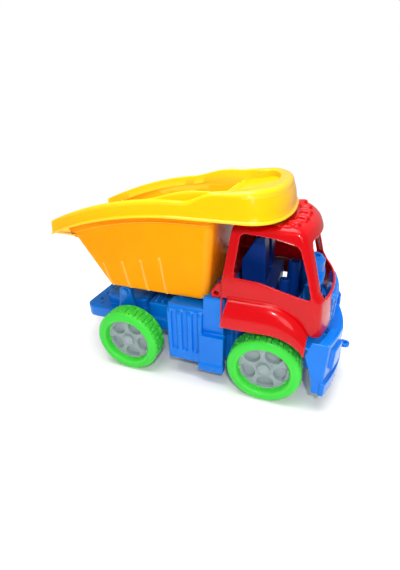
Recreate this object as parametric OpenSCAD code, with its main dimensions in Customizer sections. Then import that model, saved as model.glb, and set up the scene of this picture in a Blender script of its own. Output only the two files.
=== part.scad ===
// Toy dump truck: moulded plastic cab, chassis and tipping bed on two steel axles.
// X runs forward, Y to the truck's left, Z up. The origin lies on the ground,
// under the middle of the whole toy.

/* [Overall] */
// Distance between the two axles
wheelbase = 185; // [180:1:190]
// Width over the outer faces of the tyres
track_w = 176; // [174:1:180]
// Thickness of the moulded walls
wall = 2.5; // [2:0.1:3]

/* [Wheels] */
// Outer diameter of a tyre
tyre_d = 90; // [86:1:92]
// Width of a tyre
tyre_w = 30; // [28:1:32]
// Radius of the opening in the tyre's outer face
lip_r = 32.2; // [31:0.1:33]
// Depth of the wheel disc inside the tyre
disc_depth = 9; // [7:0.5:11]
// Radius of the wheel disc
disc_r = 30.8; // [29:0.1:31]
// Spokes, and pockets between them, on one disc
spoke_count = 5; // [4:1:6]
// Tread blocks round one side of a tyre
lug_count = 20; // [12:1:24]
// Radius of a steel axle
axle_r = 3; // [2.5:0.1:3.2]
// Radial running clearance of an axle or the bed's pin
running_gap = 0.06; // [0.03:0.01:0.09]

/* [Chassis] */
// Height of the rear deck's top
deck_top = 69; // [66:1:72]
// Half width of the rear deck
deck_half_w = 52; // [50:1:52]
// Height of the side tanks' top
tank_top = 108; // [104:1:109]
// Height of the block behind the cab
block_top = 125; // [122:1:126]
// Height of the cab floor
floor_top = 104; // [100:1:108]
// Half width of the frame between the front wheels
frame_half_w = 50; // [46:1:52]

/* [Bed] */
// Height of the tub's underside
tub_bottom = 111; // [110.5:0.5:114]
// Height of the rim's lower edge at its highest stretch
rim_bottom = 223; // [222:0.5:226]
// Height of the rim skirt along the sides
skirt_h = 18; // [15:1:20]
// Extra height of the canopy over the cab
canopy_rise = 10; // [6:1:12]
// Height of the hinge line
hinge_z = 100; // [98:1:102]
// Radius of the hinge pin
pin_r = 3; // [2.5:0.1:3.2]

/* [Cab] */
// Half width of the cab at the window sill
cab_half_w = 74; // [72:1:76]
// Height of the roof at its middle
roof_top = 217; // [215:1:219]
// Roof lamps along the front of the roof
roof_lamps = 5; // [3:1:5]
// Radius of the tow ring's hole
tow_hole_r = 2.8; // [2.5:0.1:3]

/* [Hidden] */
$fn = 72;
tyre_r = tyre_d / 2;
half_w = track_w / 2;
front_x = wheelbase;
rear_tip_x = -104;
ring_tip_x = 284;
mid_x = (rear_tip_x + ring_tip_x) / 2;
hinge_x = -18;
rim_front_x = 197;
canopy_x = 150;
arc_top_x = 84;
arc_drop = 0.00118;
tub_front_x = 106;
chute_z = 186;
liner_t = 2;
deck_rear_x = -88;
box_rear_x = 58;
box_front_x = 131;
block_x = 108.5;
post_x = 104.8;
neck_front_x = 140;
neck_half_w = 52;
step_rear_x = 101.8;
step_front_x = 133.7;
frame_front_x = 238;
box_half_w = 70;
turn_x = 70;
nose_r = 186;
notch_z = 82;
notch_half_w = 42;
groove_step = 14;
drum_x = 223;
drum_r = 14;
disc_t = 3;
hub_r = 7.5;
screw_r = 1.5;
screw_head_r = 3.4;
leg_t = 6;
seat_rear_x = 143;
seat_front_x = 186;
seat_top = 139;
sides = [-1, 1];
corners = ["front_left", "front_right", "rear_left", "rear_right"];

// Seats of the screws: place and turn of each one
screw_seats = [
    [[134, 45, block_top], [0, 0, 0]],
    [[134, -45, block_top], [0, 0, 0]],
    [[150, 30, floor_top], [0, 0, 0]],
    [[150, -30, floor_top], [0, 0, 0]],
    [[222, 34, floor_top], [0, 0, 0]],
    [[222, -34, floor_top], [0, 0, 0]],
    [[frame_front_x, 30, 62], [0, 90, 0]],
    [[frame_front_x, -30, 62], [0, 90, 0]]
];

// Drawings are made from the rear axle; the frame's origin is under the middle
module at_frame() {
    translate([-mid_x, 0, 0])
        children();
}

// A drawing of length and height made into a slab across the middle plane
module slab(width) {
    rotate([90, 0, 0])
        linear_extrude(height = width, center = true)
            children();
}

// A drawing of width and height made into a bar that runs along the length
module along_x(x0, x1) {
    translate([x0, 0, 0])
        rotate([90, 0, 90])
            linear_extrude(height = x1 - x0)
                children();
}

// A block between two corners
module block(low, high) {
    translate(low)
        cube(high - low);
}

// A bar across the truck, its ends at y0 and y1
module cross_bar(x, z, r, y0, y1) {
    translate([x, y0, z])
        rotate([-90, 0, 0])
            cylinder(r = r, h = y1 - y0);
}

// A rectangle with round corners
module round_rect(low, high, r) {
    translate(low + [r, 0])
        square([high[0] - low[0] - 2 * r, high[1] - low[1]]);
    translate(low + [0, r])
        square([high[0] - low[0], high[1] - low[1] - 2 * r]);
    for (x = [low[0] + r, high[0] - r], y = [low[1] + r, high[1] - r])
        translate([x, y])
            circle(r);
}

// ---- Chassis ----

// Outer blocks of the chassis
module chassis_body() {
    translate([0, 0, deck_top - 17])
        linear_extrude(height = 17)
            round_rect([deck_rear_x, -deck_half_w], [box_rear_x + 4, deck_half_w], 16);
    translate([0, 0, deck_top - 4])
        linear_extrude(height = 19)
            round_rect([-58, -36], [8, 36], 8);
    block([18, -48, deck_top - 4], [box_rear_x + 2, 48, 90]);
    block([box_rear_x, -box_half_w, 26], [box_front_x, box_half_w, tank_top]);
    block([block_x, -box_half_w, 60], [box_front_x, box_half_w, block_top]);
    for (s = sides)
        scale([1, s, 1])
            block([post_x, 62, 60], [block_x + 1, box_half_w, block_top]);
    block([box_front_x - 10, -neck_half_w, 26], [neck_front_x, neck_half_w, block_top]);
    block([neck_front_x - 4, -frame_half_w, 34], [frame_front_x, frame_half_w, floor_top]);
}

// Side tanks with a rounded top and three upright grooves, and the step in front of them
module tanks_and_steps() {
    for (s = sides)
        scale([1, s, 1])
            difference() {
                union() {
                    intersection() {
                        block([box_rear_x, box_half_w - 2, 28], [post_x, box_half_w + 6, 104]);
                        translate([0, box_half_w - 2, 96])
                            rotate([0, 90, 0])
                                linear_extrude(height = 300)
                                    union() {
                                        circle(8);
                                        translate([0, -20])
                                            square([100, 28]);
                                    }
                    }
                    block([step_rear_x, box_half_w - 2, 20], [step_front_x, box_half_w + 8, 74]);
                    block([step_rear_x - 1, box_half_w - 2, 20], [step_front_x + 0.5, box_half_w + 10, 31]);
                }
                for (i = [0 : 2])
                    translate([box_rear_x + 9.5 + i * groove_step, box_half_w + 1.8, 43])
                        linear_extrude(height = 80)
                            round_rect([-3.8, 0], [3.8, 9], 2.5);
            }
}

// Hollows moulded into the underside
module chassis_hollows() {
    translate([0, 0, deck_top - 20])
        linear_extrude(height = 20 - wall)
            round_rect([deck_rear_x + wall, -deck_half_w + wall], [box_rear_x + 8, deck_half_w - wall], 13);
    translate([0, 0, deck_top - 5])
        linear_extrude(height = 20 - wall)
            round_rect([-58 + wall, -36 + wall], [8 - wall, 36 - wall], 6);
    block([18 + wall, -48 + wall, deck_top - 6], [box_rear_x + 6, 48 - wall, 90 - wall]);
    block([box_rear_x + wall, -box_half_w + wall, 0],
          [box_front_x - wall, box_half_w - wall, tank_top - wall]);
    block([block_x + wall, -box_half_w + wall, 0], [box_front_x - wall, box_half_w - wall, block_top - wall]);
    block([box_front_x - 12, -neck_half_w + wall, 0],
          [neck_front_x - wall, neck_half_w - wall, block_top - wall]);
    block([neck_front_x - 8, -frame_half_w + wall, 0],
          [frame_front_x - wall, frame_half_w - wall, floor_top - wall]);
}

// Legs that carry an axle below the deck, one at each side
module axle_legs(x, half, top) {
    for (s = sides)
        translate([x, s * (half - leg_t / 2), 0])
            rotate([90, 0, 0])
                linear_extrude(height = leg_t, center = true)
                    union() {
                        translate([0, tyre_r])
                            circle(10);
                        polygon([[-10, tyre_r], [10, tyre_r], [14, top - 1], [-14, top - 1]]);
                    }
}

// Round-topped lugs that hold the bed's pin
module hinge_cheeks() {
    for (s = sides)
        translate([hinge_x, s * 44, 0])
            rotate([90, 0, 0])
                linear_extrude(height = 8, center = true)
                    union() {
                        translate([0, hinge_z])
                            circle(9);
                        polygon([[-9, hinge_z], [9, hinge_z], [14, deck_top - 1], [-14, deck_top - 1]]);
                    }
}

// Ribs across the deck, and the raised end rails on it
module deck_ribs() {
    for (x = [26 : 9 : 53])
        block([x, -44, 88], [x + 3, 44, 94]);
    for (s = sides)
        scale([1, s, 1])
            block([-72, 38, deck_top - 1], [-64, 46, deck_top + 2]);
    block([box_rear_x + 8, -52, tank_top - 1], [box_rear_x + 12, 52, tub_bottom - 1]);
}

// Row of short slots through the rear of the deck
module deck_slots() {
    for (y = [-27 : 18 : 27])
        block([deck_rear_x + 12, y - 4.5, deck_top - 6], [deck_rear_x + 15.5, y + 4.5, deck_top + 1]);
}

module chassis() {
    color("dodgerblue")
        at_frame()
            difference() {
                union() {
                    difference() {
                        union() {
                            chassis_body();
                            tanks_and_steps();
                        }
                        chassis_hollows();
                        deck_slots();
                    }
                    axle_legs(0, deck_half_w - wall, deck_top);
                    axle_legs(front_x, frame_half_w - wall, floor_top);
                    hinge_cheeks();
                    deck_ribs();
                }
                for (x = [0, front_x])
                    cross_bar(x, tyre_r, axle_r + running_gap, -half_w, half_w);
                cross_bar(hinge_x, hinge_z, pin_r, -60, 60);
                for (seat = screw_seats)
                    translate(seat[0])
                        rotate(seat[1])
                            cylinder(r = screw_r + 0.2, h = 12, center = true);
            }
}

// ---- Bumper ----

// Plan of the curved nose: a ring sector between two radii about the turning centre
module nose_ring(r_out, r_in, half, x_min) {
    intersection() {
        difference() {
            translate([turn_x, 0])
                circle(r_out);
            translate([turn_x, 0])
                circle(r_in);
        }
        translate([x_min, -half])
            square([400, 2 * half]);
    }
}

// Side outline of the bumper: high by the cab, cut back round the wheel
module bumper_side() {
    polygon([
        [228.7, 79], [235, 62], [239.5, 46], [242.5, 28],
        [300, 28], [300, 150], [250, 150], [240, 101], [234.8, 99]
    ]);
}

// The bumper's ring and lower lip; its upper edge is lower in the middle
module bumper_ring() {
    difference() {
        union() {
            translate([0, 0, 28])
                linear_extrude(height = 71)
                    nose_ring(201, 201 - wall, 84, 220);
            translate([0, 0, 28])
                linear_extrude(height = 18)
                    nose_ring(204, 199.5, 86, 220);
            translate([0, 0, 93])
                linear_extrude(height = 3)
                    nose_ring(200.5, 188, 83.5, 220);
        }
        block([220, -notch_half_w, notch_z], [300, notch_half_w, 120]);
    }
}

module bumper() {
    color("royalblue")
        at_frame()
            difference() {
                union() {
                    intersection() {
                        bumper_ring();
                        slab(200)
                            bumper_side();
                    }
                    headlamps();
                    corner_shelves();
                    grille();
                    tow_ring();
                    side_returns();
                    screw_bosses_front();
                }
                translate([ring_tip_x - 6.5, 0, 40])
                    cylinder(r = tow_hole_r, h = 20);
                for (i = [6, 7])
                    translate(screw_seats[i][0])
                        rotate(screw_seats[i][1])
                            cylinder(r = screw_r, h = 12);
            }
}

// Raised lamp blocks at both ends of the bumper
module headlamps() {
    for (s = sides)
        intersection() {
            translate([0, 0, 60])
                linear_extrude(height = 27)
                    nose_ring(204.5, 199, 90, 228);
            block([228, min(s * 50, s * 74), 60], [300, max(s * 50, s * 74), 87]);
        }
}

// Shelves inside the bumper's corners, just below the cab
module corner_shelves() {
    for (s = sides)
        intersection() {
            translate([0, 0, 87])
                linear_extrude(height = 3)
                    nose_ring(200, 172, 83.5, 228);
            scale([1, s, 1])
                block([220, 50, 0], [300, 90, 150]);
        }
}

// Blue grille that fills the opening in the cab's nose
module grille() {
    intersection() {
        translate([0, 0, notch_z - 3])
            linear_extrude(height = 139 - notch_z)
                nose_ring(nose_r - 0.5, nose_r - 6, 45, 228);
        along_x(228, 300)
            round_rect([-38, 70], [38, 136], 8);
    }
    translate([0, 0, notch_z - 3])
        linear_extrude(height = 3)
            nose_ring(200, nose_r - 5, notch_half_w + 2, 228);
    for (s = sides)
        intersection() {
            translate([0, 0, notch_z - 2])
                linear_extrude(height = 97 - notch_z)
                    nose_ring(200, 189, 60, 228);
            scale([1, s, 1])
                block([220, notch_half_w - 0.5, 0], [300, notch_half_w + 1.5, 150]);
        }
    for (z = [102 : 9 : 129])
        translate([0, 0, z])
            linear_extrude(height = 3)
                nose_ring(nose_r + 1.5, nose_r - 4, 34, 228);
}

// Flat ring lug for a pull cord
module tow_ring() {
    translate([ring_tip_x - 6.5, 0, 46])
        cylinder(r = 6.5, h = 5);
    block([268, -5, 46], [ring_tip_x - 8, 5, 51]);
}

// Walls that close the ends of the bumper beside the wheels
module side_returns() {
    for (s = sides)
        intersection() {
            block([224, min(s * 81.9, s * 83.9), 28], [260, max(s * 81.9, s * 83.9), 98]);
            slab(200)
                bumper_side();
            translate([turn_x, 0, 0])
                cylinder(r = 200, h = 150);
        }
}

// Screw bosses that reach back to the chassis
module screw_bosses_front() {
    for (i = [6, 7])
        translate(screw_seats[i][0])
            rotate([0, 90, 0])
                cylinder(r = 4.5, h = 29.5);
}

// ---- Cab ----

// Rear and front halves of the cab's side outline; the doors start at the given drop
// below the cab's own lower edge
function cab_rear_line(drop) = [
    [127, block_top - drop], [127, 148], [136, roof_top - 6], [139, roof_top - 2], [143, roof_top]
];
function cab_front_line(drop) = [
    [208, roof_top], [217, roof_top - 2.5], [223, roof_top - 7], [228, 204], [247, 149],
    [252, 140], [256, 98 - drop], [222, 98 - drop], [222, block_top - drop]
];

// Front outline: upright doors, and window posts that lean in towards the roof
module cab_front_view(inset) {
    w = cab_half_w - inset;
    r = roof_top - inset;
    polygon([
        [-w, 0], [w, 0], [w, 150], [w - 8, r - 8], [w - 11, r - 3], [w - 16, r],
        [-w + 16, r], [-w + 11, r - 3], [-w + 8, r - 8], [-w, 150]
    ]);
}

// The cab's form, or the space inside it when inset: one outline turned about an upright
// axis behind the cab, so that the nose and windscreen curve, then trimmed to its width
module cab_form(inset, drop) {
    intersection() {
        translate([turn_x, 0, 0])
            rotate_extrude()
                translate([-turn_x, 0])
                    offset(delta = -inset)
                        polygon(concat(cab_rear_line(drop), cab_front_line(drop)));
        slab(400)
            offset(delta = -inset)
                polygon(concat(cab_rear_line(drop), [[400, roof_top], [400, block_top - 90]]));
        along_x(100, 300)
            cab_front_view(inset);
    }
}

// Opening of a side window
module window_side() {
    polygon([
        [141, 158], [146, 204], [149, 207], [171, 206], [184, 204.5], [199, 201.5],
        [206, 198.5], [212, 190], [219.5, 168], [226, 143], [220, 142], [210, 146],
        [190, 151], [170, 156], [155, 158]
    ]);
}

// Windscreen opening seen from the front
module windscreen_front() {
    polygon([
        [-63, 141], [63, 141], [54, 199], [50, 203], [-50, 203], [-54, 199]
    ]);
}

// Lower edge of a door: level, then down round the wheel
function door_arc(a) = [178 + 57.5 * sin(a), 73.5 + 57.5 * cos(a)];
function lip_arc(a) = [188 + 48 * sin(a), 52 + 48 * cos(a)];
arch_steps = 8;

module door_cut() {
    polygon(concat(
        [[129.6, 0], [129.6, 131]],
        [for (i = [0 : arch_steps]) door_arc(i * 62 / arch_steps)],
        [[232, 99], [232, 97], [300, 97], [300, 0]]
    ));
}

// Mudguard: a curved sheet from the door's lower edge out and down to the lip over the tyre.
// Each station has a point on the door's edge and a point on the lip.
guard_stations = concat(
    [[[131, 133], [131, 99]], [[155, 133], [158, 100]]],
    [for (i = [0 : arch_steps]) [door_arc(i * 62 / arch_steps) + [0, 2], lip_arc(i * 56 / arch_steps)]]
);
guard_turns = [0, 35, 60, 78, 90];
guard_out = half_w + 1 - (cab_half_w - 1);

function guard_point(st, a, t) =
    let(
        fall = 1 - cos(a),
        top = st[0] - [0, t],
        low = st[1]
    )
    [top[0] + (low[0] - top[0]) * fall, cab_half_w - 1 + (guard_out - t) * sin(a),
     top[1] + (low[1] - top[1]) * fall];

function guard_row(st) = concat(
    [for (a = guard_turns) guard_point(st, a, wall)],
    [for (i = [len(guard_turns) - 1 : -1 : 0]) guard_point(st, guard_turns[i], 0)]
);

module mudguard() {
    rows = [for (st = guard_stations) guard_row(st)];
    n = len(rows[0]);
    last = (len(rows) - 1) * n;
    polyhedron(
        points = [for (row = rows) each row],
        faces = concat(
            [for (j = [0 : n / 2 - 2]) each [[j, j + 1, n - 1 - j], [j + 1, n - 2 - j, n - 1 - j]]],
            [for (i = [0 : len(rows) - 2], j = [0 : n - 1])
                each [
                    [(i + 1) * n + j, (i + 1) * n + (j + 1) % n, i * n + j],
                    [(i + 1) * n + (j + 1) % n, i * n + (j + 1) % n, i * n + j]
                ]],
            [for (j = [0 : n / 2 - 2])
                each [[last + n - 1 - j, last + j + 1, last + j],
                      [last + n - 1 - j, last + n - 2 - j, last + j + 1]]]
        )
    );
}

// Lamps in a row along the roof's front edge, and one wider lug at each side
module roof_lamp_row() {
    for (i = [0 : roof_lamps - 1]) {
        y = (i - (roof_lamps - 1) / 2) * 25;
        turn = asin(y / (210 - turn_x));
        translate([turn_x, 0, roof_top - 12])
            rotate(turn)
                translate([210 - turn_x, 0, 0])
                    lamp_lug(4.5, 3, 14.5);
    }
    for (s = sides)
        translate([194, s * 56, roof_top - 12])
            lamp_lug(5, 4, 13.5);
}

module lamp_lug(r, stretch, h) {
    linear_extrude(height = h)
        union() {
            circle(r);
            translate([-2 * stretch, -r])
                square([2 * stretch, 2 * r]);
        }
}

// Lugs at the foot of the cab's rear wall, each with a round hole through it
module cab_brackets() {
    for (s = sides)
        translate([0, s * 62, 0])
            slab(8)
                difference() {
                    polygon([[114, block_top], [130, block_top], [130, 146], [122, 144], [114, 134]]);
                    translate([120, 131])
                        circle(3);
                }
}

module cab_shell() {
    color("crimson")
        at_frame()
            difference() {
                union() {
                    difference() {
                        union() {
                            cab_form(0, 0);
                            roof_lamp_row();
                        }
                        cab_form(wall, 90);
                        slab(400)
                            door_cut();
                    }
                    cab_brackets();
                    for (i = [0, 1])
                        translate(screw_seats[i][0])
                            cylinder(r = 4.2, h = 26);
                    mudguard();
                    mirror([0, 1, 0])
                        mudguard();
                }
                slab(400)
                    window_side();
                along_x(205, 300)
                    windscreen_front();
                along_x(228, 300)
                    round_rect([-38.6, 60], [38.6, 136.6], 8);
                for (i = [0, 1])
                    translate(screw_seats[i][0])
                        cylinder(r = screw_r, h = 12);
            }
}

// ---- Cab interior ----

// Outline of one seat back with the gusset behind it
module seat_back_side() {
    polygon([
        [145, 136], [143, 166], [156, 190], [159, 195], [163, 197], [168, 195],
        [170, 180], [173, 139], [173, 136]
    ]);
}

module seat_unit() {
    color("mediumblue")
        at_frame()
            difference() {
                union() {
                    difference() {
                        block([seat_rear_x, -44, floor_top], [seat_front_x, 44, seat_top]);
                        block([seat_rear_x + wall, -44 + wall, floor_top - 1],
                              [seat_front_x - wall, 44 - wall, seat_top - wall]);
                    }
                    for (s = sides)
                        translate([0, s * 25, 0])
                            slab(30)
                                seat_back_side();
                    for (i = [2, 3])
                        translate(screw_seats[i][0])
                            cylinder(r = 4, h = 34);
                }
                for (i = [2, 3])
                    translate(screw_seats[i][0])
                        cylinder(r = screw_r, h = 12);
                for (s = sides)
                    translate([0, s * 25, 0])
                        slab(30 - 2 * wall)
                            polygon([[148, 130], [146, 165], [159, 189], [166, 189], [168, 130]]);
            }
}

// Round post with a dished top
module dished_post(x, y, r_low, r_top, top) {
    translate([x, y, floor_top])
        rotate_extrude()
            polygon([
                [0, 0], [r_low, 0], [r_top, top - floor_top - 1], [r_top - 1, top - floor_top],
                [r_top - 2, top - floor_top], [r_top - 2.5, top - floor_top - 1.5], [0, top - floor_top - 1.5]
            ]);
}

module steering_column() {
    color("mediumblue")
        at_frame()
            dished_post(203, -24, 8, 7, 167);
}

module gear_post() {
    color("mediumblue")
        at_frame()
            dished_post(195, -40, 7, 6.5, 150);
}

// Dashboard: a shelf behind the windscreen with a round drum and a raised ring on it
module dashboard() {
    color("mediumblue")
        at_frame()
            difference() {
                union() {
                    translate([0, 0, floor_top])
                        linear_extrude(height = 20)
                            nose_ring(168, 146, 46, 205);
                    translate([0, 0, floor_top])
                        linear_extrude(height = 44)
                            nose_ring(169, 154, 46, 205);
                    translate([drum_x, 0, floor_top])
                        cylinder(r = drum_r, h = 60);
                    translate([drum_x, 0, floor_top + 59])
                        rotate_extrude()
                            translate([drum_r - 7, 0])
                                square([4, 5]);
                }
                translate([drum_x, 0, floor_top - 1])
                    cylinder(r = drum_r - wall, h = 61 - wall);
                for (i = [4, 5])
                    translate(screw_seats[i][0])
                        cylinder(r = screw_r, h = 12);
            }
}

// ---- Bed ----

// Heights of the rim's lower and upper edge at a distance along the bed
function ease(t) = t <= 0 ? 0 : t >= 1 ? 1 : t * t * (3 - 2 * t);
function edge_low(x) = rim_bottom - arc_drop * pow(max(arc_top_x - x, 0), 2);
function edge_high(x) = edge_low(x) + skirt_h + canopy_rise * ease((x - 86) / 36) + 4 * ease((x - 110) / 60);
edge_xs = [for (x = [rear_tip_x : 12 : 208]) x];

// Half width of the rim at a distance along the bed
function rim_half(x) =
    x > canopy_x ? half_w * pow(1 - pow(min((x - canopy_x) / (rim_front_x - canopy_x), 1), 2.4), 1 / 2.4) :
    x > 40 ? half_w :
    half_w - 18 * pow((40 - x) / 144, 2);

rim_xs = concat([for (x = [rear_tip_x : 18 : 40]) x],
                [for (a = [0 : 7.5 : 90]) canopy_x + (rim_front_x - canopy_x) * sin(a)]);

// Plan of the rim's outer edge
module rim_plan() {
    polygon(concat(
        [for (x = rim_xs) [x, -rim_half(x)]],
        [for (i = [len(rim_xs) - 2 : -1 : 0]) [rim_xs[i], rim_half(rim_xs[i])]]
    ));
}

// Side drawing of a band that follows the rim, between two heights measured from its edges
module rim_band(low_edge, low, high) {
    polygon(concat(
        [for (x = edge_xs) [x, (low_edge ? edge_low(x) : edge_high(x)) + low]],
        [for (i = [len(edge_xs) - 1 : -1 : 0]) [edge_xs[i], edge_high(edge_xs[i]) + high]]
    ));
}

// The tub's outer form, or its inner form when inset
module tub_form(inset) {
    r = 10 - inset;
    hull()
        for (s = sides) {
            for (x = [-36 + inset + r, tub_front_x - inset - r])
                translate([x, s * (56 - inset - r), tub_bottom + inset])
                    cylinder(r = r, h = 0.1, $fn = 32);
            for (x = [-98 + inset + r, 120 - inset - r])
                translate([x, s * (78 - inset - r), 240])
                    cylinder(r = r, h = 0.1, $fn = 32);
        }
}

module bed_tub() {
    color("orange")
        at_frame()
            difference() {
                union() {
                    intersection() {
                        difference() {
                            tub_form(0);
                            tub_form(wall);
                            block([-130, -62, chute_z - 3.5], [-58, 62, 300]);
                        }
                        slab(220)
                            polygon(concat(
                                [[-130, 0], [-130, edge_low(-130)]],
                                [for (x = edge_xs) [x, min(edge_high(x) - 3.5, 233.5)]],
                                [[208, 0]]
                            ));
                    }
                    tub_ribs();
                    tub_lugs();
                }
                cross_bar(hinge_x, hinge_z, pin_r + running_gap, -60, 60);
            }
}

// Ribs pressed out of the tub's sides; each one leans less and stands taller than the last
module tub_ribs() {
    for (i = [0 : 3], s = sides)
        scale([1, s, 1])
            intersection() {
                translate([26.5 * i - 29, 55.5, tub_bottom + 2])
                    rotate([-9.7, -12 / (i + 1), 0])
                        translate([-1.5, -2, 0])
                            cube([3, 3, 34 + 6 * i]);
                block([-60, 50, tub_bottom], [110, 90, 190]);
            }
}

// Lugs under the tub that turn on the hinge pin
module tub_lugs() {
    for (s = sides)
        translate([hinge_x, s * 33, 0])
            rotate([90, 0, 0])
                linear_extrude(height = 10, center = true)
                    union() {
                        translate([0, hinge_z])
                            circle(8.5);
                        polygon([
                            [-8.5, hinge_z], [8.5, hinge_z], [14, tub_bottom + 1], [-12, tub_bottom + 1]
                        ]);
                    }
}

module bed_rim() {
    color("gold")
        at_frame() {
            intersection() {
                linear_extrude(height = 300)
                    difference() {
                        rim_plan();
                        offset(delta = -wall)
                            rim_plan();
                        translate([-130, -67])
                            square([30, 134]);
                    }
                slab(220)
                    rim_band(true, 0, 0);
            }
            intersection() {
                linear_extrude(height = 300)
                    difference() {
                        rim_plan();
                        offset(delta = -15.5)
                            rim_plan();
                        translate([-130, -68])
                            square([60, 136]);
                    }
                slab(220)
                    rim_band(false, -3, 0);
            }
            canopy_floor();
            chute();
            liner();
        }
}

// Lining of the tub, in one piece with the rim; it ends at the chute
module liner() {
    intersection() {
        difference() {
            tub_form(wall + 0.05);
            tub_form(wall + 0.05 + liner_t);
            block([-130, -61, chute_z], [-58, 61, 300]);
        }
        slab(220)
            polygon(concat(
                [[-130, 0], [-130, edge_low(-130)]],
                [for (x = edge_xs) [x, min(edge_high(x) - 1, 238.5)]],
                [[208, 0]]
            ));
    }
}

// Floor of the canopy, rising forward from the top of the tub's front wall
module canopy_floor() {
    intersection() {
        linear_extrude(height = 300)
            rim_plan();
        slab(220)
            polygon([
                [115, 237], [125, 240], [150, 244], [168, 250], [176, 256],
                [196, 257], [196, 254], [176, 253], [168, 247], [150, 241], [125, 237], [115, 234]
            ]);
    }
}

// Pouring lip behind the tub, between the rim's sides
module chute() {
    difference() {
        intersection() {
            linear_extrude(height = 300)
                rim_plan();
            slab(220)
                polygon([
                    [rear_tip_x, edge_low(rear_tip_x)], [rear_tip_x, edge_low(rear_tip_x) + wall],
                    [-66, chute_z], [-66, chute_z - 3]
                ]);
        }
        for (s = sides)
            intersection() {
                tub_form(-0.1);
                scale([1, s, 1])
                    block([-130, 61.9, 120], [0, 100, 300]);
            }
    }
}

module hinge_pin() {
    color("silver")
        at_frame()
            union() {
                cross_bar(hinge_x, hinge_z, pin_r, -49, 49);
                cross_bar(hinge_x, hinge_z, pin_r + 2, -50.5, -48);
            }
}

// ---- Wheels ----

// Moves a wheel drawn about the Z axis, its outer face at z = 0, to its place on the truck
module at_wheel(corner) {
    x = corner < 2 ? front_x : 0;
    s = corner % 2 == 0 ? 1 : -1;
    translate([x, s * half_w, tyre_r])
        rotate([-s * 90, 0, 0])
            children();
}

// Tyre section: rounded shoulders, a conical recess and a seat for the disc
module tyre_section() {
    w = tyre_w;
    seat = disc_depth + disc_t;
    difference() {
        translate([lip_r - 6, -w])
            round_rect([0, 0], [tyre_r - lip_r + 6, w], 5);
        polygon([[0, 1], [lip_r, 1], [lip_r, -1], [disc_r, -disc_depth + 1], [disc_r, -seat],
                 [disc_r - 4, -seat], [disc_r - 4, -seat - 3], [disc_r + 2, -seat - 3],
                 [disc_r + 4, -w - 1], [0, -w - 1]]);
    }
}

module tyre(corner) {
    color("limegreen")
        at_frame()
            at_wheel(corner)
                difference() {
                    rotate_extrude()
                        tyre_section();
                    for (i = [0 : lug_count - 1], row = [0, 1])
                        rotate((i + row / 2 + 0.25) * 360 / lug_count)
                            translate([tyre_r - 1, -1.2, row == 0 ? -13.4 : -26])
                                cube([4, 2.4, 9.4]);
                }
}

// Wheel disc with five spokes, a hub tube on the axle and pockets between the spokes
module disc(corner) {
    color("slategray")
        at_frame()
            at_wheel(corner)
                difference() {
                    union() {
                        translate([0, 0, -disc_depth - disc_t])
                            cylinder(r = disc_r, h = disc_t);
                        translate([0, 0, -(half_w - deck_half_w) + 1])
                            cylinder(r = hub_r, h = half_w - deck_half_w - 1 - disc_depth - 1);
                    }
                    for (i = [0 : spoke_count - 1])
                        rotate(i * 360 / spoke_count)
                            disc_pocket();
                    translate([0, 0, -60])
                        cylinder(r = axle_r, h = 80);
                }
}

// D-shaped pocket: round towards the rim, narrow towards the hub
module disc_pocket() {
    translate([0, 0, -disc_depth - 1.6])
        linear_extrude(height = 5)
            intersection() {
                difference() {
                    circle(27);
                    circle(12.5);
                }
                translate([24, 0])
                    circle(10.5);
            }
}

// Cap over the end of the axle
module hub_cap(corner) {
    color("darkgray")
        at_frame()
            at_wheel(corner)
                translate([0, 0, -disc_depth])
                    rotate_extrude()
                        polygon([[5.4, 0], [7.5, 0], [7.5, 2.8], [6.3, 4], [0, 4.4], [0, 3], [5.4, 3]]);
}

module axle(x) {
    color("silver")
        at_frame()
            cross_bar(x, tyre_r, axle_r, -half_w + disc_depth - 2.4, half_w - disc_depth + 2.4);
}

// Spring nuts pushed on to both ends of an axle, outside the discs
module push_nuts(first) {
    color("silver")
        at_frame()
            for (corner = [first, first + 1])
                at_wheel(corner)
                    translate([0, 0, -disc_depth])
                        difference() {
                            cylinder(r = 5, h = 1.2);
                            translate([0, 0, -1])
                                cylinder(r = axle_r, h = 4);
                        }
}

// Pan-head screws, all of one kind
module screws() {
    color("silver")
        at_frame()
            for (seat = screw_seats)
                translate(seat[0])
                    rotate(seat[1])
                        translate([0, 0, -wall])
                            screw();
}

module screw() {
    difference() {
        union() {
            cylinder(r = screw_r, h = wall + 10);
            translate([0, 0, -2.2])
                cylinder(r = screw_head_r, h = 2.2);
        }
        for (a = [0, 90])
            rotate(a)
                translate([-2, -0.4, -2.3])
                    cube([4, 0.8, 1.2]);
    }
}

chassis();
bumper();
cab_shell();
seat_unit();
dashboard();
steering_column();
gear_post();
bed_tub();
bed_rim();
hinge_pin();
axle(front_x);  // front_axle
axle(0);  // rear_axle
for (corner = [0 : 3]) {
    tyre(corner);
    disc(corner);
    hub_cap(corner);
}
push_nuts(0);  // front_push_nuts
push_nuts(2);  // rear_push_nuts
screws();
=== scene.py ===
import math

import bmesh
import bpy
from mathutils import Matrix, Vector


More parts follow.
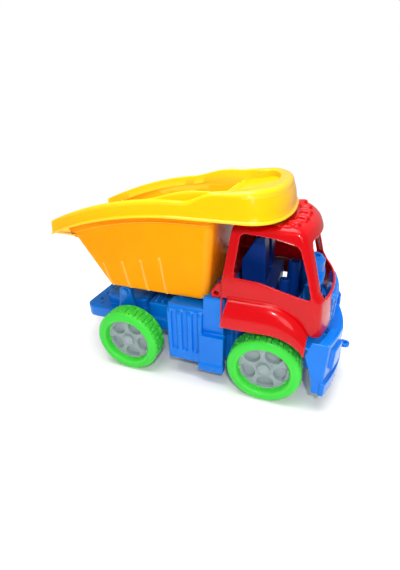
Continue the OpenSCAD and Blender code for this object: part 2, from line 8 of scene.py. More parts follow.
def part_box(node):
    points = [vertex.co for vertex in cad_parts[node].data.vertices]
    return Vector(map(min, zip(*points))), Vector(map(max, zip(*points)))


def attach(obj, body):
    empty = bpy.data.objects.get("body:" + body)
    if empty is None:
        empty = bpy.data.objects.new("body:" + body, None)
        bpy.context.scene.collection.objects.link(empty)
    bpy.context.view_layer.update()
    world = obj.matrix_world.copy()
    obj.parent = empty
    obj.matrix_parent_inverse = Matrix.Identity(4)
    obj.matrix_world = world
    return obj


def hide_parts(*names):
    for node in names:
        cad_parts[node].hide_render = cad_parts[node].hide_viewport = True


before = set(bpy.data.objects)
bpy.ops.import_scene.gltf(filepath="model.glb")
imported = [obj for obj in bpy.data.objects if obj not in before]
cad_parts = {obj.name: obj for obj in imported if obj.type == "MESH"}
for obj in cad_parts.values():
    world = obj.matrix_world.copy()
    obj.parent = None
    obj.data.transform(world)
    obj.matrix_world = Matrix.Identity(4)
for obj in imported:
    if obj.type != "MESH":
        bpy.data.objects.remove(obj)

scene = bpy.context.scene
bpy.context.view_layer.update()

# Places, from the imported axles

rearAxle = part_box("rear_axle")
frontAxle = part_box("front_axle")
rearX = (rearAxle[0].x + rearAxle[1].x) / 2
wheelbase = ((frontAxle[0].x + frontAxle[1].x) / 2 - rearX) * 1000
# Drawings are in millimetres from the rear axle; this puts them in the frame
toFrame = Matrix.Translation((rearX, 0, 0)) @ Matrix.Scale(0.001, 4)
toDrawing = toFrame.inverted()


def drawingBox(node):
    low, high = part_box(node)
    return toDrawing @ low, toDrawing @ high


# Camera

cameraPose = {"spot": (0.1296, -0.39825, 0.32175), "yaw": 109.8, "pitch": 27.4, "roll": -0.7, "lens": 21.09}


def placeCamera(pose):
    yaw, pitch, roll = (math.radians(pose[k]) for k in ("yaw", "pitch", "roll"))
    ahead = Vector((math.cos(pitch) * math.cos(yaw), math.cos(pitch) * math.sin(yaw), -math.sin(pitch)))
    right = ahead.cross(Vector((0, 0, 1))).normalized()
    up = right.cross(ahead)
    rightTurned = math.cos(roll) * right + math.sin(roll) * up
    upTurned = math.cos(roll) * up - math.sin(roll) * right
    data = bpy.data.cameras.new("camera")
    data.sensor_width = 36
    data.lens = pose["lens"]
    data.clip_start, data.clip_end = 0.01, 20
    cam = bpy.data.objects.new("camera", data)
    turn = Matrix((rightTurned, upTurned, -ahead)).transposed().to_4x4()
    cam.matrix_world = Matrix.Translation(pose["spot"]) @ turn
    scene.collection.objects.link(cam)
    scene.camera = cam


placeCamera(cameraPose)
print("camera placed")

# Effects that several plastics and metals share


def newGroup(name, inputs, outputs):
    tree = bpy.data.node_groups.new(name, "ShaderNodeTree")
    for label, kind, value in inputs:
        socket = tree.interface.new_socket(name=label, in_out="INPUT", socket_type=kind)
        socket.default_value = value
    for label, kind in outputs:
        tree.interface.new_socket(name=label, in_out="OUTPUT", socket_type=kind)
    return tree, tree.nodes.new("NodeGroupInput"), tree.nodes.new("NodeGroupOutput")


def addNode(tree, kind, links=None, **settings):
    node = tree.nodes.new(kind)
    for key, value in settings.items():
        setattr(node, key, value)
    for key, value in (links or {}).items():
        if isinstance(value, bpy.types.NodeSocket):
            tree.links.new(value, node.inputs[key])
        else:
            node.inputs[key].default_value = value
    return node


def mixColour(tree, factor, first, second):
    return addNode(tree, "ShaderNodeMix", {0: factor, 6: first, 7: second}, data_type="RGBA").outputs[2]


def calculate(tree, operation, first, second):
    return addNode(tree, "ShaderNodeMath", {0: first, 1: second}, operation=operation).outputs[0]


def remap(tree, value, low, high, first=0.0, last=1.0):
    return addNode(tree, "ShaderNodeMapRange", {0: value, 1: low, 2: high, 3: first, 4: last}).outputs[0]


def addNoise(tree, where, scale, detail, **links):
    settings = {"Vector": where, "Scale": scale, "Detail": detail, **links}
    return addNode(tree, "ShaderNodeTexNoise", settings).outputs["Fac"]


def makeMouldGrain():
    # Faint unevenness of a moulded surface: slow sink marks and a fine grain
    tree, given, out = newGroup(
        "mouldGrain",
        [("Sink Scale", "NodeSocketFloat", 30.0), ("Grain Scale", "NodeSocketFloat", 900.0),
         ("Grain Share", "NodeSocketFloat", 0.15)],
        [("Height", "NodeSocketFloat")])
    where = addNode(tree, "ShaderNodeTexCoord").outputs["Object"]
    sink = addNoise(tree, where, given.outputs["Sink Scale"], 1.5)
    grain = addNoise(tree, where, given.outputs["Grain Scale"], 2.0)
    fine = calculate(tree, "MULTIPLY", grain, given.outputs["Grain Share"])
    tree.links.new(calculate(tree, "ADD", sink, fine), out.inputs["Height"])
    return tree


def makePigment():
    # Slow drift of the pigment, and a painted highlight: paler colour on edges where the wall turns
    tree, given, out = newGroup(
        "pigment",
        [("Colour", "NodeSocketColor", (0.8, 0.1, 0.1, 1)), ("Deep", "NodeSocketColor", (0.6, 0.05, 0.05, 1)),
         ("Edge", "NodeSocketColor", (0.9, 0.3, 0.3, 1)), ("Drift", "NodeSocketFloat", 0.35),
         ("Edge Highlight Share", "NodeSocketFloat", 0.3)],
        [("Colour", "NodeSocketColor"), ("Edge Mask", "NodeSocketFloat")])
    where = addNode(tree, "ShaderNodeTexCoord").outputs["Object"]
    slow = addNoise(tree, where, 14.0, 3.0, Distortion=0.6)
    share = calculate(tree, "MULTIPLY", remap(tree, slow, 0.35, 0.7), given.outputs["Drift"])
    body = mixColour(tree, share, given.outputs["Colour"], given.outputs["Deep"])
    # Convex edges take the Edge colour: a painted highlight where light catches the turn of the wall
    edge = remap(tree, addNode(tree, "ShaderNodeNewGeometry").outputs["Pointiness"], 0.51, 0.58)
    paintedHighlight = calculate(tree, "MULTIPLY", edge, given.outputs["Edge Highlight Share"])
    tree.links.new(mixColour(tree, paintedHighlight, body, given.outputs["Edge"]), out.inputs["Colour"])
    tree.links.new(edge, out.inputs["Edge Mask"])
    return tree


def makeHandling():
    # Fine rub marks and dull patches from handling, as a roughness
    tree, given, out = newGroup(
        "handling",
        [("Clean", "NodeSocketFloat", 0.2), ("Dull", "NodeSocketFloat", 0.4),
         ("Scale", "NodeSocketFloat", 60.0)],
        [("Roughness", "NodeSocketFloat"), ("Scratches", "NodeSocketFloat")])
    where = addNode(tree, "ShaderNodeTexCoord").outputs["Object"]
    stretch = addNode(tree, "ShaderNodeMapping",
                      {"Vector": where, "Rotation": (0.4, 0.9, 0.3), "Scale": (1.0, 14.0, 4.0)})
    sharp = remap(tree, addNoise(tree, stretch.outputs[0], given.outputs["Scale"], 4.0), 0.62, 0.72)
    wide = remap(tree, addNoise(tree, where, 22.0, 4.0), 0.45, 0.8, 0.0, 0.6)
    both = calculate(tree, "MAXIMUM", sharp, wide)
    rough = remap(tree, both, 0.0, 1.0, given.outputs["Clean"], given.outputs["Dull"])
    tree.links.new(rough, out.inputs["Roughness"])
    tree.links.new(sharp, out.inputs["Scratches"])
    return tree


mouldGrain, pigment, handling = makeMouldGrain(), makePigment(), makeHandling()


def linear(red, green, blue):
    def one(v):
        v = v / 255
        return v / 12.92 if v <= 0.04045 else ((v + 0.055) / 1.055) ** 2.4
    return (one(red), one(green), one(blue), 1.0)


def useGroup(tree, group, links):
    node = tree.nodes.new("ShaderNodeGroup")
    node.node_tree = group
    for key, value in links.items():
        node.inputs[key].default_value = value
    return node


def plastic(name, colour, deep, edge, look):
    material = bpy.data.materials.new(name)
    material.use_nodes = True
    tree = material.node_tree
    shader = tree.nodes["Principled BSDF"]
    paint = useGroup(tree, pigment, {"Colour": linear(*colour), "Deep": linear(*deep), "Edge": linear(*edge),
                                     "Drift": look["drift"], "Edge Highlight Share": look["edgeHighlightShare"]})
    tree.links.new(paint.outputs["Colour"], shader.inputs["Base Color"])
    marks = useGroup(tree, handling, {"Clean": look["clean"], "Dull": look["dull"],
                                      "Scale": look["markScale"]})
    tree.links.new(marks.outputs["Roughness"], shader.inputs["Roughness"])
    grain = useGroup(tree, mouldGrain, {"Sink Scale": look["sinkScale"], "Grain Scale": look["grainScale"],
                                        "Grain Share": look["grainShare"]})
    bump = addNode(tree, "ShaderNodeBump", {"Height": grain.outputs["Height"], "Strength": look["bump"],
                                            "Distance": look["bumpDepth"]})
    tree.links.new(bump.outputs["Normal"], shader.inputs["Normal"])
    shader.inputs["IOR"].default_value = look["ior"]
    shader.inputs["Coat Weight"].default_value = look["coat"]
    shader.inputs["Coat Roughness"].default_value = look["coatRoughness"]
    shader.inputs["Specular IOR Level"].default_value = look["specular"]
    return material


glossyLook = {"drift": 0.5, "edgeHighlightShare": 0.3, "clean": 0.2, "dull": 0.3, "markScale": 60.0, "sinkScale": 26.0,
              "grainScale": 900.0, "grainShare": 0.05, "bump": 0.3, "bumpDepth": 0.0005, "coat": 0.22,
              "coatRoughness": 0.05, "specular": 0.16, "ior": 1.49}
softLook = dict(glossyLook, clean=0.3, dull=0.45, coat=0.08, coatRoughness=0.2)
# The satin look lays the edge colour almost fully on sharp edges, a painted highlight that makes the tub's
# ribs read as bright lines
satinLook = dict(glossyLook, coat=0.0, specular=0.3, clean=0.26, dull=0.36, ior=1.16, edgeHighlightShare=0.85)
dimLook = dict(glossyLook, coat=0.0, specular=0.1, clean=0.4, dull=0.5)

# Each plastic: its colour, a deeper tone for slow random drift, and a paler edge colour that is a painted
# highlight on sharp edges
yellowPlastic = plastic("yellowPlastic", (255, 192, 0), (253, 178, 0), (255, 238, 90), glossyLook)
orangePlastic = plastic("orangePlastic", (255, 160, 0), (255, 148, 0), (255, 216, 120), satinLook)
redPlastic = plastic("redPlastic", (198, 0, 10), (184, 0, 6), (238, 70, 64), glossyLook)
bluePlastic = plastic("bluePlastic", (0, 116, 218), (0, 100, 202), (50, 156, 244), glossyLook)
# A darker copy of the blue plastic: painted shade for the parts inside the cab
shadedBluePlastic = plastic("shadedBluePlastic", (0, 46, 124), (0, 36, 106), (16, 84, 178), dimLook)
greenPlastic = plastic("greenPlastic", (60, 208, 62), (44, 194, 54), (150, 242, 122), softLook)
greyPlastic = plastic("greyPlastic", (150, 162, 166), (138, 150, 156), (190, 198, 200), softLook)


def steel(name, tint, look):
    material = bpy.data.materials.new(name)
    material.use_nodes = True
    tree = material.node_tree
    shader = tree.nodes["Principled BSDF"]
    # The pale edge colour is a painted highlight on the sharp edges of the metal
    paint = useGroup(tree, pigment, {"Colour": (*tint, 1), "Deep": (*[c * 0.7 for c in tint], 1),
                                     "Edge": (0.9, 0.9, 0.9, 1), "Drift": 0.8, "Edge Highlight Share": 0.5})
    tree.links.new(paint.outputs["Colour"], shader.inputs["Base Color"])
    marks = useGroup(tree, handling, {"Clean": look["clean"], "Dull": look["dull"], "Scale": 200.0})
    tree.links.new(marks.outputs["Roughness"], shader.inputs["Roughness"])
    bump = addNode(tree, "ShaderNodeBump",
                   {"Height": marks.outputs["Scratches"], "Strength": 0.3, "Distance": 0.0001})
    tree.links.new(bump.outputs["Normal"], shader.inputs["Normal"])
    shader.inputs["Metallic"].default_value = 1.0
    return material


brightSteel = steel("brightSteel", (0.62, 0.63, 0.65), {"clean": 0.22, "dull": 0.45})
springSteel = steel("springSteel", (0.38, 0.39, 0.42), {"clean": 0.3, "dull": 0.5})
zincSteel = steel("zincSteel", (0.7, 0.72, 0.74), {"clean": 0.3, "dull": 0.55})
print("materials made")

# Mesh helpers


def smoothStep(t):
    t = min(max(t, 0.0), 1.0)
    return t * t * (3 - 2 * t)


def addGrid(bm, rows, closeRow=False, closeRows=False):
    made = [[bm.verts.new(p) for p in row] for row in rows]
    count, width = len(made), len(made[0])
    for i in range(count if closeRows else count - 1):
        for j in range(width if closeRow else width - 1):
            a, b = made[i][j], made[i][(j + 1) % width]
            c, d = made[(i + 1) % count][(j + 1) % width], made[(i + 1) % count][j]
            bm.faces.new((a, b, c, d))
    return made


def asObject(bm, name):
    bmesh.ops.recalc_face_normals(bm, faces=bm.faces)
    mesh = bpy.data.meshes.new(name)
    bm.to_mesh(mesh)
    bm.free()
    piece = bpy.data.objects.new(name, mesh)
    scene.collection.objects.link(piece)
    return piece


def bake(piece):
    # Replaces the mesh by what its modifiers give
    bpy.context.view_layer.update()
    graph = bpy.context.evaluated_depsgraph_get()
    mesh = bpy.data.meshes.new_from_object(piece.evaluated_get(graph))
    piece.modifiers.clear()
    old = piece.data
    piece.data = mesh
    bpy.data.meshes.remove(old)
    return piece


def combine(piece, other, operation):
    change = piece.modifiers.new("combine", "BOOLEAN")
    change.operation = operation
    change.solver = "EXACT"
    change.object = other
    bake(piece)
    bpy.data.objects.remove(other)
    return piece


def soften(piece, voxel, rounds, keep):
    # Melts sharp edges into small moulded fillets
    again = piece.modifiers.new("again", "REMESH")
    again.mode = "VOXEL"
    again.voxel_size = voxel
    relax = piece.modifiers.new("relax", "SMOOTH")
    relax.factor = 0.5
    relax.iterations = rounds
    if keep < 1:
        thin = piece.modifiers.new("thin", "DECIMATE")
        thin.ratio = keep
    return bake(piece)


def finishPiece(piece, body, nodes, material, angle=40):
    piece.data.transform(toFrame)
    piece.data.materials.clear()
    piece.data.materials.append(material)
    piece.data.shade_smooth()
    if angle:
        piece.data.set_sharp_from_angle(angle=math.radians(angle))
    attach(piece, body)
    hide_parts(*nodes)
    print("made", piece.name, len(piece.data.polygons))
    return piece


def joinRings(bm, rings):
    # Walls between two rings of points, and a face at each end
    first, second = rings
    count = len(first)
    for j in range(count):
        bm.faces.new((first[j], first[(j + 1) % count], second[(j + 1) % count], second[j]))
    bm.faces.new(first)
    bm.faces.new(list(reversed(second)))


def capEnds(bm, made):
    bm.faces.new(made[0])
    bm.faces.new(list(reversed(made[-1])))


def joinShells(bm, made, within):
    # Closes an outer and an inner wall at their floors and round their top edge
    bm.faces.new(made[0])
    bm.faces.new(list(reversed(within[0])))
    count = len(made[-1])
    for j in range(count):
        bm.faces.new((made[-1][j], made[-1][(j + 1) % count], within[-1][(j + 1) % count], within[-1][j]))


def closeSheet(bm, rows, thick):
    # Open sheet made solid: an underside and a rim round all four edges
    made = addGrid(bm, rows)
    below = addGrid(bm, [[(x, y, z - thick) for x, y, z in reversed(row)] for row in rows])
    ring = made[0] + [row[-1] for row in made[1:]]
    ring += list(reversed(made[-1]))[1:] + [row[0] for row in reversed(made[1:-1])]
    ringBelow = list(reversed(below[0])) + [row[0] for row in below[1:]]
    ringBelow += below[-1][1:] + [row[-1] for row in reversed(below[1:-1])]
    count = len(ring)
    for i in range(count):
        bm.faces.new((ring[i], ringBelow[i], ringBelow[(i + 1) % count], ring[(i + 1) % count]))


def prism(bm, outline, low, high, axis="y"):
    # A closed outline drawn across an axis, carried from low to high
    def spot(p, d):
        if axis == "y":
            return (p[0], d, p[1])
        if axis == "x":
            return (d, p[0], p[1])
        return (p[0], p[1], d)
    joinRings(bm, [[bm.verts.new(spot(p, d)) for p in outline] for d in (low, high)])


def rounded(outline, radius, steps=6):
    # The outline with each corner turned into an arc
    made = []
    count = len(outline)
    for i in range(count):
        before, here, after = Vector(outline[i - 1]), Vector(outline[i]), Vector(outline[(i + 1) % count])
        size = radius[i] if isinstance(radius, (list, tuple)) else radius
        first, second = before - here, after - here
        half = first.angle(second) / 2
        reach = min(size / math.tan(half), first.length * 0.45, second.length * 0.45)
        start, end = here + first.normalized() * reach, here + second.normalized() * reach
        for k in range(steps + 1):
            t = k / steps
            made.append(tuple((1 - t) ** 2 * start + 2 * t * (1 - t) * here + t * t * end))
    return made


def turned(bm, profile, centre, axis, steps, closed=False):
    # Profile points are (radius, along the axis)
    x, y, z = centre
    rows = []
    for i in range(steps):
        angle = 2 * math.pi * i / steps
        c, s = math.cos(angle), math.sin(angle)
        if axis == "y":
            rows.append([(x + radius * c, y + along, z + radius * s) for radius, along in profile])
        else:
            rows.append([(x + radius * c, y + radius * s, z + along) for radius, along in profile])
    made = addGrid(bm, rows, closeRow=closed, closeRows=True)
    if not closed:
        bm.faces.new([row[0] for row in made])
        bm.faces.new([row[-1] for row in reversed(made)])


# Rim, lining and pouring lip of the bed

rimLow, rimHigh = drawingBox("bed_rim")
rimShape = {
    "lowest": 223.0, "drop": 0.00118, "arcTop": 84.0, "skirt": 18.0, "rise": 10.0, "riseTwo": 4.0,
    "half": rimHigh.y, "canopyFrom": 150.0, "front": rimHigh.x, "rear": rimLow.x, "pinch": 18.0, "power": 2.4,
    "lean": 9.0, "wall": 2.5, "flange": 15.5, "frontBand": 24.0, "bead": 2.6, "slopeDrop": 11.0,
}


def edgeLow(x):
    return rimShape["lowest"] - rimShape["drop"] * max(rimShape["arcTop"] - x, 0) ** 2


def edgeHigh(x):
    return (edgeLow(x) + rimShape["skirt"] + rimShape["rise"] * smoothStep((x - 86) / 36)
            + rimShape["riseTwo"] * smoothStep((x - 110) / 60))


def ridgeHigh(x):
    # Inner edge of the rim, which climbs to the canopy sooner than the outer band
    return (edgeLow(x) + rimShape["skirt"] + rimShape["rise"] * smoothStep((x - 38) / 62)
            + rimShape["riseTwo"] * smoothStep((x - 110) / 60))


def rimHalf(x):
    if x > 40:
        return rimShape["half"]
    return rimShape["half"] - rimShape["pinch"] * ((40 - x) / 144) ** 2


def rimStations():
    # Plan points of the outer edge, from the rear right corner round the front
    points = []
    steps = 70
    for i in range(steps):
        x = rimShape["rear"] + (rimShape["canopyFrom"] - rimShape["rear"]) * i / steps
        points.append((x, -rimHalf(x)))
    turns = 34
    for i in range(turns + 1):
        a = math.radians(90 * i / turns)
        power = 2 / rimShape["power"]
        x = rimShape["canopyFrom"] + (rimShape["front"] - rimShape["canopyFrom"]) * math.sin(a) ** power
        points.append((x, -rimShape["half"] * math.cos(a) ** power if i < turns else 0.0))
    return points + [(px, -py) for px, py in reversed(points[:-1])]


def stationNormals(points):
    made = []
    for i in range(len(points)):
        a, b = Vector(points[max(i - 1, 0)]), Vector(points[min(i + 1, len(points) - 1)])
        along = (b - a).normalized()
        made.append(Vector((-along.y, along.x)))
    return made


def rimSection(x):
    # Outline of the rim's wall at a distance along the bed: (inward, height)
    low, high, ridge = edgeLow(x), edgeHigh(x), ridgeHigh(x)
    front = smoothStep((x - 140) / 50)
    canopy = smoothStep((x - 118) / 30)
    lean = 1.5 + (rimShape["lean"] - 1.5) * front
    wide = rimShape["flange"] + (rimShape["frontBand"] - rimShape["flange"]) * canopy
    tail = smoothStep((-62 - x) / 40)
    wide -= 8.0 * tail
    wall, bead, band = rimShape["wall"], rimShape["bead"], 1 - canopy
    deep = min(ridge - rimShape["slopeDrop"] - 2, 230.0) * band + (dishHeight(x) - 2.0) * canopy
    slope = (ridge - rimShape["slopeDrop"]) * band + dishHeight(x) * canopy

    def leaned(z):
        return lean * max((z - low) / (high - low), 0) ** 2.2

    def skin(z, extra):
        return (leaned(z) + extra, z)
    ridge = ridge * band + (high - 0.4) * canopy
    turn = (4.0 - 1.4 * tail) * band + 7.0 * canopy
    top = leaned(high - turn) + bead + turn
    room = wide + 1.7 * band - top

    def inward(share, fixed):
        return (top + room * share) * band + fixed * canopy
    out = [(0.5, low), (0.0, low + 0.5), (0.0, low + 1.7), (0.5, low + 2.3),
           (bead - 0.5, low + 2.8), (bead, low + 3.5)]
    for t in (0.3, 0.45, 0.6, 0.72, 0.82):
        out.append(skin(low + (high - low) * t, bead))
    for k in range(8):
        a = math.radians(90 * k / 7)
        out.append((leaned(high - turn) + bead + turn * (1 - math.cos(a)), high - turn + turn * math.sin(a)))
    out += [
        (inward(0.1, top + 1.5), high - 0.1 * band), (inward(0.18, top + 2.6), high - 0.5 * band),
        (inward(0.26, top + 3.6), (high - 0.8) * band + (high - 0.1) * canopy),
        (inward(0.32, wide - 4.6), (high - 0.8 + (ridge - high) * 0.5) * band + (high - 0.1) * canopy),
        (inward(0.38, wide - 3.0), ridge - 0.5), (inward(0.44, wide - 1.8), ridge),
        (inward(0.5, wide - 0.8), ridge - 0.3), (inward(0.56, wide - 0.1), ridge - 1.2),
        (inward(0.64, wide + 0.2), ridge - 2.6 - 0.4 * band), (inward(1.0, wide + 0.3), slope),
        (inward(0.9, wide + 0.3), deep), (inward(0.88, wide) - wall, deep - 0.2),
        (inward(0.5, wide) - wall, min(ridge, high) - wall - 2.0), (inward(0.2, top + 1.5), high - wall - 0.9),
    ]
    for t in (0.86, 0.7, 0.5, 0.3):
        out.append(skin(low + (high - low) * t, bead + wall))
    out += [(bead + wall - 0.2, low + 3), (wall + 0.6, low + 0.2)]
    return out


def makeRim():
    bm = bmesh.new()
    stations = rimStations()
    normals = stationNormals(stations)
    rows = []
    for (x, y), normal in zip(stations, normals):
        rows.append([(x + normal.x * o, y + normal.y * o, z) for o, z in rimSection(x)])
    capEnds(bm, addGrid(bm, rows, closeRow=True))
    return bm


dishShape = {"low": 237.5, "step": 3.5, "climb": 6.0, "rear": 116.5, "front": 176.0, "inset": 12.0,
             "thick": 2.4, "steps": 26, "across": 48}


def dishHeight(x):
    d = dishShape
    return d["low"] + d["step"] * smoothStep((x - 118) / 16) + d["climb"] * smoothStep((x - 128) / 40)


def addDish(bm):
    # Floor of the canopy, from the tub's front wall to the band round the front
    d = dishShape
    rows = []
    for i in range(d["steps"] + 1):
        x = d["rear"] + (d["front"] - d["rear"]) * i / d["steps"]
        half = rimShape["half"]
        if x > rimShape["canopyFrom"]:
            s = (x - rimShape["canopyFrom"]) / (rimShape["front"] - rimShape["canopyFrom"])
            half = half * (1 - s ** rimShape["power"]) ** (1 / rimShape["power"])
        half = half - d["inset"]
        us = [-1 + 2 * j / d["across"] for j in range(d["across"] + 1)]
        rows.append([(x, half * math.sin(u * math.pi / 2), dishHeight(x)) for u in us])
    closeSheet(bm, rows, d["thick"])


def roundPlan(x0, x1, half, corner, perCorner=8, sideXs=()):
    points = []

    def arc(cx, cy, start):
        for k in range(perCorner + 1):
            a = math.radians(start + 90 * k / perCorner)
            points.append((cx + corner * math.cos(a), cy + corner * math.sin(a)))
    arc(x1 - corner, -half + corner, -90)
    for k in range(1, 8):
        points.append((x1, (-half + corner) * (1 - k / 4)))
    arc(x1 - corner, half - corner, 0)
    for x in sorted(sideXs, reverse=True):
        points.append((x, half))
    arc(x0 + corner, half - corner, 90)
    for k in range(1, 8):
        points.append((x0, (half - corner) * (1 - k / 4)))
    arc(x0 + corner, -half + corner, 180)
    for x in sorted(sideXs):
        points.append((x, -half))
    return points


# The tub and its lining widen from the lower height to the upper one
tubForm = {"low": 111.0, "high": 240.0, "rear": (-36, 62), "front": (106, 14), "half": (56, 22)}


def tubSize(z, inset):
    # Rear end, front end and half width of the tub at a height
    f = tubForm
    t = (z - f["low"]) / (f["high"] - f["low"])
    return (f["rear"][0] - f["rear"][1] * t + inset * 1.1, f["front"][0] + f["front"][1] * t - inset,
            f["half"][0] + f["half"][1] * t - inset)


def tubPlan(z, inset, corner, parts=100):
    x0, x1, half = tubSize(z, inset)
    start, length = x0 + 12, x1 - x0 - 24
    return roundPlan(x0, x1, half, corner, sideXs=[start + length * k / parts for k in range(parts + 1)])


linerShape = {"outer": 2.7, "inner": 4.6, "chute": 186.0, "below": 11.2, "top": 238.2, "sideTop": 236.0,
              "floor": 2.6, "thick": 2.0, "rise": 6}


def addLiner(bm):
    # Lining of the tub; its rear wall ends at the chute
    s = linerShape

    def topOf(x, y):
        if x < -60:
            flare = s["chute"] + smoothStep((abs(y) - 56) / 8) * 60
            return max(min(flare, edgeHigh(x) - s["below"]), s["chute"])
        return min(ridgeHigh(x) - s["below"], s["top"] if abs(y) < 60 else s["sideTop"])

    def wallRows(inset, corner, floor):
        clipped = []
        for z in [floor] + [floor + 4 + k * s["rise"] for k in range(22)]:
            clipped.append([])
            for j, (x, y) in enumerate(tubPlan(z, inset, corner, 11)):
                limit, height = topOf(x, y), z
                if z > limit:
                    for _ in range(3):
                        x, y = tubPlan(limit, inset, corner, 11)[j]
                        limit = topOf(x, y)
                    height = limit
                clipped[-1].append((x, y, height))
        return clipped
    floor = tubForm["low"] + s["floor"]
    made = addGrid(bm, wallRows(s["outer"], 8, floor), closeRow=True)
    within = addGrid(bm, wallRows(s["inner"], 6.5, floor + s["thick"]), closeRow=True)
    joinShells(bm, made, within)


chuteShape = {"rear": 0.4, "front": -66.0, "lift": 2.6, "gap": 2.2, "thick": 2.2, "curl": 2.5, "curlWide": 9.0}


def addChute(bm):
    # Pouring lip behind the tub
    c = chuteShape
    rows = []
    low = edgeLow(rimShape["rear"]) + c["lift"]
    for i in range(9):
        t = i / 8
        x = rimShape["rear"] + c["rear"] + (c["front"] - rimShape["rear"]) * t
        z = low + (linerShape["chute"] - low) * smoothStep(t)
        half = rimHalf(x) - c["gap"]
        ys = [half * (-1 + 2 * j / 24) for j in range(25)]
        lift = [c["curl"] * smoothStep((abs(y) - half + c["curlWide"]) / c["curlWide"]) for y in ys]
        rows.append([(x, y, z + up) for y, up in zip(ys, lift)])
    closeSheet(bm, rows, c["thick"])


rimMesh = makeRim()
addDish(rimMesh)
addLiner(rimMesh)
addChute(rimMesh)
rim = asObject(rimMesh, "rimAndLining")
finishPiece(rim, "bed", ["bed_rim"], yellowPlastic, angle=50)

# Orange tub under the rim

tubShape = {"wall": 2.4, "corner": 10.0, "innerCorner": 8, "ribs": 4, "ribFrom": -29.0, "ribStep": 26.5,
            "ribRise": 2.3, "ribHalf": 1.9, "ribLow": 113.0, "ribTall": 34.0, "ribTaller": 6.5,
            "ribLean": 0.21, "collar": 9.5, "collarOut": 1.9, "collarRear": 2.6, "collarBead": 0.7,
            "bottomTurn": 6.0, "mouth": 182.3, "top": 233.3}


def addRibs(bm):
    # Raised ribs on the tub's sides, each leaning back a little less than the one behind it
    s = tubShape
    across = [(-1.0, -0.4), (-0.75, 0.1), (-0.3, 0.85), (0.0, 1.0), (0.3, 0.85), (0.75, 0.1), (1.0, -0.4)]
    for side in (-1, 1):
        for i in range(s["ribs"]):
            rows = []
            tall = s["ribTall"] + s["ribTaller"] * i
            for k in range(25):
                z = s["ribLow"] + tall * k / 24
                centre = s["ribFrom"] + s["ribStep"] * i - s["ribLean"] / (i + 1) * (z - s["ribLow"])
                rise = s["ribRise"] * smoothStep(k / 4) * (1 - (k / 24) ** 2.5) + 0.02
                half = tubSize(z, 0)[2] - 0.5 * (1 - smoothStep((z - s["ribLow"]) / 5))
                line = [(s["ribHalf"] * u, rise * v if v > 0 else v) for u, v in across]
                rows.append([(centre + u, side * (half + v), z) for u, v in line])
            capEnds(bm, addGrid(bm, rows, closeRow=True))


def makeTub():
    bm = bmesh.new()
    s = tubShape
    bottom, turn = tubForm["low"], s["bottomTurn"]

    def topOf(x, y):
        if x < -60 and abs(y) < 64:
            return s["mouth"]
        return min(edgeHigh(x) - 4.0, s["top"])

    def collarOf(x, y):
        return min(edgeLow(x) - s["collar"], topOf(x, y) - 2.5)

    def along(low, high, z):
        # Point of the slanted wall at a height
        t = (z - low[2]) / (high[2] - low[2])
        return low[0] + (high[0] - low[0]) * t, low[1] + (high[1] - low[1]) * t

    def settled(low, high, limit):
        # Height at which a line from low to high meets a limit that depends on its place
        z = high[2]
        for _ in range(5):
            z = limit(*along(low, high, z))
        return z

    def wallLines(inset, corner):
        ends = [[(x, y, z) for x, y in tubPlan(z, inset, corner)] for z in (bottom, tubForm["high"])]
        return list(zip(*ends))

    def outerPoint(low, high, z, edge):
        # The collar stands out, and stays inside the rim's skirt
        x, y = along(low, high, z)
        half = tubSize(z, 0)[2]
        step = smoothStep((z - edge + 0.1) / 0.8)
        bead = math.exp(-((z - edge - 1.6) / 1.0) ** 2) * s["collarBead"]
        rise = (s["collarOut"] * step + bead) * smoothStep((abs(y) - half + 12) / 10)
        if z > edgeLow(x) - 1.5:
            rise = min(rise, rimHalf(x) - rimShape["bead"] - 2.0 - abs(y))
        back = s["collarRear"] * step * smoothStep((-58 - x) / 8)
        return x - back, y + math.copysign(rise, y), z
    rows = []
    for k in range(7):
        a = math.radians(90 * k / 6)
        z, pull = bottom + turn * (1 - math.cos(a)), turn * (1 - math.sin(a))
        rows.append([(x, y, z) for x, y in tubPlan(z, pull, max(s["corner"] - pull * 0.5, 4))])
    columns = []
    for low, high in wallLines(0, s["corner"]):
        edge, top = settled(low, high, collarOf), settled(low, high, topOf)
        zs = [bottom + turn + (edge - 0.6 - bottom - turn) * k / 34 for k in range(1, 35)]
        zs += [edge + 0.3 * k for k in range(12)]
        zs += [edge + (top - edge) * 0.5, edge + (top - edge) * 0.75, top]
        columns.append([outerPoint(low, high, z, edge) for z in zs])
    rows += [list(row) for row in zip(*columns)]
    floor = bottom + s["wall"]
    columns = []
    for low, high in wallLines(s["wall"], s["innerCorner"]):
        top = settled(low, high, topOf)
        zs = [floor + (top - floor) * k / 12 for k in range(13)]
        columns.append([(*along(low, high, z), z) for z in zs])
    inner = [list(row) for row in zip(*columns)]
    joinShells(bm, addGrid(bm, rows, closeRow=True), addGrid(bm, inner, closeRow=True))
    return bm


tubMesh = makeTub()
addRibs(tubMesh)
tub = asObject(tubMesh, "tubShell")
finishPiece(tub, "bed", ["bed_tub"], orangePlastic, angle=50)

# Wheels

corners = {"front_left": (wheelbase, 1), "front_right": (wheelbase, -1),
           "rear_left": (0.0, 1), "rear_right": (0.0, -1)}
tyreShape = {"radius": 45.0, "width": 30.0, "lip": 32.2, "disc": 30.8, "depth": 9.0, "shoulder": 7.5,
             "lugs": 20, "swing": 6.6, "square": 2.6, "groove": 2.1, "grooveHalf": 1.35, "treadEdge": 2.5,
             "steps": 720, "tabs": 10, "tabThick": 1.4}
tabOutline = [(28.9, -1.5), (31.6, -1.9), (31.6, 1.9), (28.9, 1.5)]
outerY = drawingBox("tyre_front_left")[1].y


